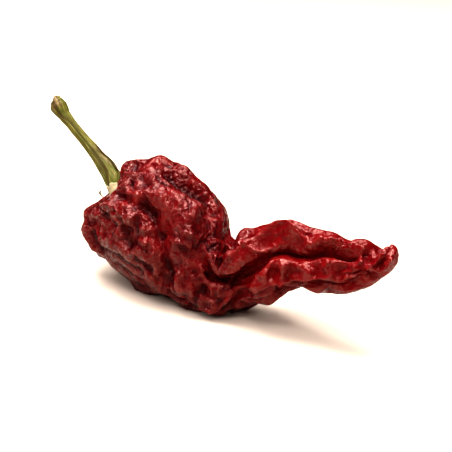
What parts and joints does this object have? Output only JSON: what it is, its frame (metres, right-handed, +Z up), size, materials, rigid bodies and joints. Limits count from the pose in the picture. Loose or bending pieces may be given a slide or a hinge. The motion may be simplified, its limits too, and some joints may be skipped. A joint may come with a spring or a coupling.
{
  "type": "dried pepper",
  "caption": "Dried choricero pepper lying on its side: deeply wrinkled dark red pod with curled tip, papery calyx and bent green-brown stem.",
  "frame": {"origin": "on the surface the pepper lies on, under the middle of the whole pepper", "axes": "+Z up from the surface; the pod lies slantwise: its tip points towards +X and about 40 degrees to the front (-Y), its stem the other way; +Y is the back, away from the side with the long groove"},
  "size_m": [0.1008, 0.086, 0.0545],
  "materials": {
    "dried_skin": "glossy, wrinkled dried fruit skin",
    "dried_calyx": "papery, dry",
    "stem_bark": "satin, lengthwise ribbed"
  },
  "bodies": {
    "root": {"pod": "dried_skin", "calyx": "dried_calyx", "stem": "stem_bark"}
  },
  "joints": []
}
